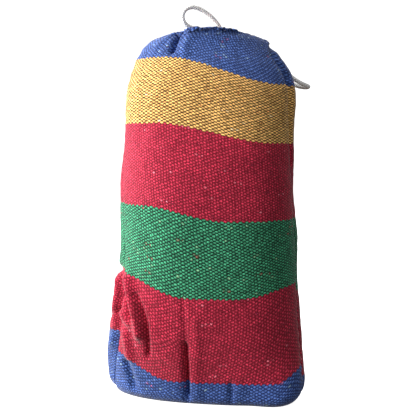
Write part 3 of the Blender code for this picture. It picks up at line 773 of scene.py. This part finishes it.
class Shading:
    """A material's node tree, with short ways to add to it."""

    def __init__(self, name, roughness):
        self.mat = bpy.data.materials.new(name)
        self.mat.use_nodes = True
        self.tree = self.mat.node_tree
        self.shader = self.tree.nodes["Principled BSDF"]
        self.shader.inputs["Roughness"].default_value = roughness

    def add(self, kind, *values, **settings):
        """A node with its first inputs set: a socket is linked, and None leaves it alone."""
        made = self.tree.nodes.new(kind)
        for key, value in settings.items():
            setattr(made, key, value)
        for k, value in enumerate(values):
            self.put(made.inputs[k], value)
        return made

    def put(self, socket, value):
        if isinstance(value, bpy.types.NodeSocket):
            self.tree.links.new(value, socket)
        elif value is not None:
            socket.default_value = value

    def calc(self, operation, *values):
        return self.add("ShaderNodeMath", *values, operation=operation).outputs[0]

    def plus(self, a, b):
        return self.calc("ADD", a, b)

    def times(self, a, b):
        return self.calc("MULTIPLY", a, b)

    def either_way(self, value, reach):
        """Noise from 0 to 1, taken to lie round zero and to cover a reach in all."""
        return self.calc("MULTIPLY_ADD", value, reach, -reach / 2)

    def spread(self, value, low, high, to_low=0.0, to_high=1.0):
        """A value taken from one range to another, smoothly and without passing it."""
        made = self.add("ShaderNodeMapRange", value, low, high, to_low, to_high,
                        interpolation_type="SMOOTHSTEP")
        return made.outputs[0]

    def pair(self, x, y, z=0.0):
        return self.add("ShaderNodeCombineXYZ", x, y, z).outputs[0]

    def place(self, on_uv):
        """Two coordinates on a surface: of its UV map, or of the object's own space."""
        if on_uv:
            place = self.add("ShaderNodeUVMap", uv_map="UVMap").outputs[0]
            split = self.add("ShaderNodeSeparateXYZ", place).outputs
            return split[0], split[1]
        place = self.add("ShaderNodeTexCoord").outputs["Object"]
        split = self.add("ShaderNodeSeparateXYZ", place).outputs
        return self.plus(split[0], split[1]), split[2]

    def chance(self, where, kind="2D", output=0):
        """A number drawn at random for each place."""
        return self.add("ShaderNodeTexWhiteNoise", where, noise_dimensions=kind).outputs[output]

    def noise(self, where, scale, detail=2.0):
        made = self.add("ShaderNodeTexNoise", where)
        made.inputs["Scale"].default_value = scale
        made.inputs["Detail"].default_value = detail
        return made.outputs[0]

    def mix(self, share, a, b, kind="MIX"):
        made = self.tree.nodes.new("ShaderNodeMix")
        made.data_type = "RGBA"
        made.blend_type = kind
        for name, value in (("Factor_Float", share), ("A_Color", a), ("B_Color", b)):
            socket = next(s for s in made.inputs if s.identifier == name)
            self.put(socket, value)
        return next(s for s in made.outputs if s.identifier == "Result_Color")

    def steps(self, value, stops):
        """A colour that changes at once at each of the stops, given as (place, colour)."""
        made = self.add("ShaderNodeValToRGB", value)
        ramp = made.color_ramp
        ramp.interpolation = "CONSTANT"
        while len(ramp.elements) < len(stops):
            ramp.elements.new(1.0)
        for element, (place, colour) in zip(ramp.elements, stops):
            element.position = place
            element.color = colour
        return made.outputs[0]

    def shaded(self, colour, amount):
        """A colour times a number."""
        made = self.add("ShaderNodeVectorMath", colour, operation="SCALE")
        self.put(made.inputs["Scale"], amount)
        return made.outputs[0]

    def relief(self, height, distance, strength=1.0):
        made = self.tree.nodes.new("ShaderNodeBump")
        made.inputs["Strength"].default_value = strength
        made.inputs["Distance"].default_value = distance
        self.put(made.inputs["Height"], height)
        self.put(self.shader.inputs["Normal"], made.outputs[0])


def diamonds(s, x, y):
    """The cells of a weave or braid: which cell a point is in, and its height in that cell."""
    p = s.calc("ROUND", s.times(s.plus(x, y), 0.5))
    q = s.calc("ROUND", s.times(s.calc("SUBTRACT", x, y), 0.5))
    wave_x = s.calc("COSINE", s.times(x, math.pi))
    wave_y = s.calc("COSINE", s.times(y, math.pi))
    return s.plus(p, q), s.calc("SUBTRACT", p, q), s.times(wave_x, wave_y)


def ribbed(s, x, height, rib):
    """The height of a weave in which the threads up the cloth show as ribs of this share."""
    wave = s.calc("COSINE", s.times(x, 2 * math.pi))
    flat = s.times(height, s.calc("SUBTRACT", 1.0, rib))
    return s.plus(flat, s.times(wave, rib))


def swayed(s, u, v):
    """The weave's own coordinates, in threads, where every thread wanders a little."""
    flat = s.pair(u, v)
    sway_x = s.plus(s.either_way(s.noise(flat, 90.0), 0.9),
                    s.either_way(s.noise(flat, 380.0, 0.0), 0.64))
    sway_y = s.plus(s.either_way(s.noise(s.pair(v, u, 3.0), 60.0), 1.0),
                    s.either_way(s.noise(s.pair(v, u, 6.0), 330.0, 0.0), 0.64))
    x = s.plus(s.times(u, 1 / (WARP_PITCH * MM)), sway_x)
    y = s.plus(s.times(v, 1 / (WEFT_PITCH * MM)), sway_y)
    return x, y


def striped(s, row):
    """The look of the stripe that a weft thread belongs to: its colours, with the painted shade for
    its gaps, and its rib.
    """
    total = sum(rows for _, rows in STRIPE_ROWS)
    share = s.calc("DIVIDE", row, float(total))
    found = {}
    for look in ("yarn", "gap", "fleck", "other", "rib"):
        stops = []
        start = 0
        for key, rows in STRIPE_ROWS:
            stops.append((max(0.0, start - 0.5) / total, YARNS[key][look]))
            start += rows
        found[look] = s.steps(share, stops)
    return found


def with_odd_fibres(s, colour, look, x, column, row, flat):
    """A yarn's colour with fibres of other colours spun into a few of its crossings."""
    cell = s.pair(column, row)
    group = s.calc("FLOOR", s.times(s.plus(x, s.times(row, 5.7)), 0.4))
    rare = s.chance(s.pair(group, row, 2.0), "3D")
    fleck = s.mix(s.spread(rare, 0.990, 0.991), look["other"], look["fleck"])
    fleck = s.shaded(fleck, s.spread(s.chance(cell, output=1), 0.0, 1.0, 0.7, 1.25))
    single = s.spread(s.chance(cell), 0.976, 0.978)
    seldom = s.calc("MAXIMUM", s.spread(rare, 0.985, 0.990), single)
    fine = s.spread(s.noise(flat, 900.0, 1.0), 0.42, 0.60)
    return s.mix(s.times(seldom, fine), colour, fleck)


def canvas(name, on_uv=True):
    """Striped plain-weave canvas of thick spun yarn, with odd fibres of other colours."""
    s = Shading(name, 0.92)
    u, v = s.place(on_uv)
    flat = s.pair(u, v)
    x, y = swayed(s, u, v)
    column, row, height = diamonds(s, x, y)
    look = striped(s, row)
    height = ribbed(s, x, height, look["rib"])

    # A slub runs along its own weft thread for a few crossings.
    slub = s.noise(s.pair(s.times(x, 0.33), s.times(row, 7.31)), 1.0, 1.0)
    own = s.chance(s.pair(column, row))
    bright = s.plus(s.times(own, 0.50), s.times(slub, 0.30))
    bright = s.plus(bright, s.times(s.noise(flat, 24.0, 3.0), 0.25))
    colour = s.shaded(look["yarn"], s.plus(bright, 0.44))
    colour = with_odd_fibres(s, colour, look, x, column, row, flat)

    # Painted shade darkens the gaps between the threads, and loose fibres blur its edges.
    fuzz = s.either_way(s.noise(s.pair(u, v, 5.0), 1500.0, 1.0), 1.2)
    colour = s.mix(s.spread(s.plus(height, fuzz), 0.45, -0.62), colour, look["gap"])
    # Painted light on each crossing: a painted highlight up to half again brighter on its top, and
    # painted shade on its flanks.
    colour = s.shaded(colour, s.spread(height, -0.1, 1.0, 0.86, 1.5))
    grain = s.noise(s.pair(u, v, 8.0), 1100.0, 1.0)
    colour = s.shaded(colour, s.spread(grain, 0.28, 0.72, 0.55, 1.45))
    s.put(s.shader.inputs["Base Color"], colour)
    s.shader.inputs["Sheen Weight"].default_value = SHEEN
    s.shader.inputs["Sheen Roughness"].default_value = 0.42
    s.shader.inputs["Sheen Tint"].default_value = (1.0, 0.97, 0.98, 1.0)
    s.shader.inputs["Specular IOR Level"].default_value = 0.1

    # Spun yarn: fine fibres lie along the weft on top of the rounded crossings.
    fibre = s.noise(s.pair(s.times(x, 0.9), s.times(y, 5.0), 1.0), 2.2, 2.0)
    tall = s.plus(s.calc("MULTIPLY_ADD", height, 0.5, 0.5), s.times(fibre, 0.45))
    s.relief(s.plus(tall, s.times(own, 0.35)), 0.00042, 0.9)
    return s.mat


def braid(name, light, dark, rough=0.8, on_uv=True, scale=(1.0, 1.0)):
    """Braided or laid cord, pale on its strands, with painted shade in a darker colour between them.
    """
    s = Shading(name, rough)
    x, y = [s.times(value, by) for value, by in zip(s.place(on_uv), scale)]
    column, row, height = diamonds(s, x, y)
    fibre = s.noise(s.pair(s.times(x, 4.0), y), 3.0, 2.0)
    # Painted shade: the dark colour fills the hollows between the strands.
    colour = s.mix(s.spread(height, 0.1, -0.9), light, dark)
    amount = s.plus(s.times(s.chance(s.pair(column, row)), 0.12), s.times(fibre, 0.2))
    s.put(s.shader.inputs["Base Color"], s.shaded(colour, s.plus(amount, 0.84)))
    s.shader.inputs["Sheen Weight"].default_value = 0.2
    s.shader.inputs["Specular IOR Level"].default_value = 0.3
    s.relief(s.plus(s.times(height, 0.5), s.times(fibre, 0.3)), 0.0004, 0.8)
    return s.mat


def plain(name, colour, roughness):
    s = Shading(name, roughness)
    s.put(s.shader.inputs["Base Color"], colour)
    return s.mat


# ---------------- colours
# A yarn's gap colour is painted shade for the hollows between its threads; rib is a height, not a
# colour.
YARNS = {
    "blue": {"yarn": srgb(74, 102, 166), "gap": srgb(28, 42, 90), "rib": grey(0.22),
             "fleck": srgb(196, 92, 120), "other": srgb(150, 178, 186)},
    "crimson": {"yarn": srgb(186, 47, 70), "gap": srgb(116, 16, 36), "rib": grey(0.34),
                "fleck": srgb(226, 120, 136), "other": srgb(90, 20, 44)},
    "green": {"yarn": srgb(64, 150, 110), "gap": srgb(5, 24, 20), "rib": grey(0.22),
              "fleck": srgb(170, 60, 66), "other": srgb(130, 170, 130)},
    "ochre": {"yarn": srgb(228, 180, 106), "gap": srgb(70, 34, 4), "rib": grey(0.06),
              "fleck": srgb(246, 226, 176), "other": srgb(150, 84, 44)},
}
COTTON = srgb(250, 249, 246)
COTTON_SHADE = srgb(206, 203, 200)
ROPE = srgb(206, 190, 150)
ROPE_SHADE = srgb(120, 102, 70)
ROPE_SCALE = (500.0, 330.0)  # strands to the metre, round a rope and along it
THREAD = srgb(150, 44, 60)
STAGE = (0.90, 0.90, 0.90, 1.0)
SHEEN = 0.34                # the pale haze of loose fibres on the canvas

# ---------------- stage, light and camera
CAMERA_PLACE = (0.0033, -0.620, 0.230)
CAMERA_DOWN = 5.3           # degrees
CAMERA_LENS = 57.46
WORLD = 0.12                # strength of the light from all round
STAGE_GLOW = 1.0
STAGE_FLAT = 2000.0         # radius of the floor, of the curve round it, and the wall's height
STAGE_CURVE = 800.0
STAGE_TALL = 4000.0
STAGE_SIDES = 64
STAGE_DROP = 0.05           # the floor lies this much below the bag
# Name, place, width and height in metres, and power.
LAMPS = [
    ("key", (-0.95, -0.50, 0.48), (0.45, 0.6), 21.0),
    ("rim", (-1.0, 0.12, 0.45), (0.5, 0.7), 16.0),
    ("top", (-0.2, -0.1, 1.5), (0.9, 0.7), 9.0),
    ("fill", (1.2, -1.3, 0.4), (1.0, 1.0), 7.0),
    ("back", (0.2, 1.5, 0.9), (1.2, 1.0), 12.0),
]
LAMPS_AIM = (0.0, 0.0, 0.17)


def stage():
    """A pale floor that curves up into a wall all round the bag."""
    profile = [(STAGE_FLAT, 0.0)]
    for turn in range(10, 91, 10):
        profile.append((STAGE_FLAT + STAGE_CURVE * math.sin(math.radians(turn)),
                        STAGE_CURVE * (1 - math.cos(math.radians(turn)))))
    profile.append((STAGE_FLAT + STAGE_CURVE, STAGE_TALL))
    points = [(0.0, 0.0, -STAGE_DROP)]
    for radius, height in profile:
        for k in range(STAGE_SIDES):
            turn = 2 * math.pi * k / STAGE_SIDES
            points.append((radius * math.cos(turn), radius * math.sin(turn),
                           height - STAGE_DROP))
    faces = []
    for k in range(STAGE_SIDES):
        after = (k + 1) % STAGE_SIDES
        faces.append((0, 1 + k, 1 + after))
        for ring in range(len(profile) - 1):
            low, high = 1 + ring * STAGE_SIDES, 1 + (ring + 1) * STAGE_SIDES
            faces.append((low + k, high + k, high + after, low + after))
    s = Shading("pale_stage", 0.9)
    s.put(s.shader.inputs["Base Color"], STAGE)
    s.shader.inputs["Emission Color"].default_value = (1.0, 1.0, 1.0, 1.0)
    s.shader.inputs["Emission Strength"].default_value = STAGE_GLOW
    floor = new_object("stage_floor", points, faces, s.mat)
    # The floor and wall are only there to be seen, and don't light the cloth.
    floor.visible_diffuse = False
    floor.visible_glossy = False


def lamp(name, place, size, power):
    light = bpy.data.lights.new(name, "AREA")
    light.shape = "RECTANGLE"
    light.size, light.size_y = size
    light.energy = power
    obj = bpy.data.objects.new(name, light)
    obj.location = place
    obj.rotation_euler = (Vector(LAMPS_AIM) - Vector(place)).to_track_quat("-Z", "Y").to_euler()
    bpy.context.collection.objects.link(obj)


def studio():
    scene = bpy.context.scene
    world = bpy.data.worlds.new("studio_world")
    world.use_nodes = True
    world.node_tree.nodes["Background"].inputs[0].default_value = (1.0, 1.0, 1.0, 1.0)
    world.node_tree.nodes["Background"].inputs[1].default_value = WORLD
    scene.world = world
    scene.view_settings.view_transform = "Standard"
    stage()
    for settings in LAMPS:
        lamp(*settings)
    data = bpy.data.cameras.new("camera")
    data.sensor_width = 36.0
    data.lens = CAMERA_LENS
    camera = bpy.data.objects.new("camera", data)
    camera.location = CAMERA_PLACE
    camera.rotation_euler = (math.radians(90 - CAMERA_DOWN), 0.0, 0.0)
    bpy.context.collection.objects.link(camera)
    scene.camera = camera


# ---------------- the pieces
def mouth_circle(radius, height, start, end, count):
    """Points on a circle round the mouth between two angles in degrees."""
    turn = np.radians(np.linspace(start, end, count))
    return np.stack([MOUTH_X + radius * np.cos(turn), radius * np.sin(turn),
                     np.full(count, height)], axis=1)


def casing_route():
    """The cord round the mouth, with both ends turned out through the slit, as in CAD."""
    bend = CASING_EXIT_BEND
    beside = CORD / 2 + 0.2
    turn = math.asin((bend + beside) / (CASING_RING + bend))
    slit = math.radians(SLIT_ANGLE)
    ends = []
    for side in (1, -1):
        line = []
        for share in np.linspace(0.0, 1.0, 9):
            swing = turn + (math.pi / 2 - turn) * share
            reach = (CASING_RING + bend) * math.cos(turn) - bend * math.cos(swing)
            offset = side * (bend + beside - bend * math.sin(swing))
            line.append((MOUTH_X + reach * math.cos(slit) - offset * math.sin(slit),
                         reach * math.sin(slit) + offset * math.cos(slit),
                         CASING_Z + CASING_EXIT_RISE * share))
        ends.append(np.array(line))
    degrees = math.degrees(turn)
    ring = mouth_circle(CASING_RING, CASING_Z, SLIT_ANGLE + degrees, SLIT_ANGLE + 360 - degrees, 73)
    return np.concatenate([ends[0][::-1], ring[1:-1], ends[1]])


def shown(obj, slot, *nodes):
    """A piece that moves with the bag and stands for CAD nodes, which it hides; the slot is not
    used.
    """
    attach(obj, BODY)
    if nodes:
        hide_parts(*nodes)
    return obj


def drawstring(cotton):
    """The cord in the hem, the bow with its two loops and two tails, and its three knots."""
    run = braided_cord("casing_cord", evenly(casing_route(), CORD_STEP), CORD, cotton)
    shown(run, "drawstring_cotton", "drawstring_casing_run")
    knot = knotted("bow_knot", KNOT_CENTRE, KNOT_HALF, KNOT_CORD, cotton, KNOT_TILT)
    shown(knot, "drawstring_cotton", "drawstring_knot")
    for name, route in (("bow_loop_top", LOOP_TOP), ("bow_loop_side", LOOP_SIDE),
                        ("bow_tail_left", TAIL_LEFT), ("bow_tail_right", TAIL_RIGHT)):
        line = smooth_line(route, CORD_STEP)
        cord = braided_cord(name + "_cord", line, CORD, cotton)
        shown(cord, "drawstring_cotton", name)
        if "tail" in name:
            way = unit(line[-1] - line[-4])
            centre = line[-1] + way * TAIL_KNOT_HALF[0]
            end = knotted(name.replace("bow_", "") + "_knot", centre, TAIL_KNOT_HALF,
                          TAIL_KNOT_CORD, cotton, TAIL_KNOT_TILT)
            shown(end, "drawstring_cotton", name.replace("bow_tail", "tail_knot"))


def sewing(front_edges, back_edges, thread):
    """The side seams, the bottom seam and the hem, each as one row of stitches."""
    for k, side in enumerate(("left", "right")):
        count = min(len(front_edges[k]), len(back_edges[k]))
        middle = (front_edges[k][:count] + back_edges[k][:count]) / 2
        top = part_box(side + "_seam_thread")[1][2] / MM
        keep = (middle[:, 2] > STITCH_LOW) & (middle[:, 2] < top - 1.0)
        line = smooth_line(middle[keep][::4], 1.0)
        towards = unit(np.array([MOUTH_X, 0.0, 0.0]) - line * [1, 1, 0])
        line = line + towards * STITCH_SINK
        row = stitches(side + "_seam_stitches", line, *SEAM_STITCH, thread)
        shown(row, "sewing_thread", side + "_seam_thread")
    low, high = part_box("bottom_seam_thread")
    low, high = np.array(low) / MM, np.array(high) / MM
    # Seen from above, the seam runs from the back at its left end to the front at its right.
    ends = [(low[0], high[1] - 0.6, 1.4), (high[0], low[1] + 0.6, 1.4)]
    line = with_corner(evenly(ends, 2.0))
    row = stitches("bottom_seam_stitches", line, *SEAM_STITCH, thread)
    shown(row, "sewing_thread", "bottom_seam_thread")
    start, end = SLIT_ANGLE + HEM_THREAD_SHORT, SLIT_ANGLE + 360 - HEM_THREAD_SHORT
    hem = mouth_circle(HEM_THREAD_RING, HEM_THREAD_Z, start, end, 200)
    row = stitches("hem_stitches", hem, *HEM_STITCH, thread)
    shown(row, "sewing_thread", "mouth_hem_thread")


def main():
    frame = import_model()
    rng = np.random.default_rng(SEED)
    stripes = canvas("striped_canvas")
    cotton = braid("white_cotton_braid", COTTON, COTTON_SHADE)
    thread = plain("sewing_thread", THREAD, 0.75)

    edges = {}
    for side in ("front", "back"):
        panel, left, right = cloth_panel(side, stripes, rng)
        shown(panel, "bag_canvas", side + "_panel")
        edges[side] = (left, right)
    sewing(edges["front"], edges["back"], thread)
    drawstring(cotton)

    bed = canvas("bed_canvas", on_uv=False)
    rope = braid("laid_rope", ROPE, ROPE_SHADE, 0.85, on_uv=False, scale=ROPE_SCALE)
    for name, node in frame["nodes"].items():
        look = bed if name == "hammock_bed" else rope
        if name == "hammock_bed" or name.startswith(("head_", "foot_")):
            node.data.materials.clear()
            node.data.materials.append(look)

    studio()


main()
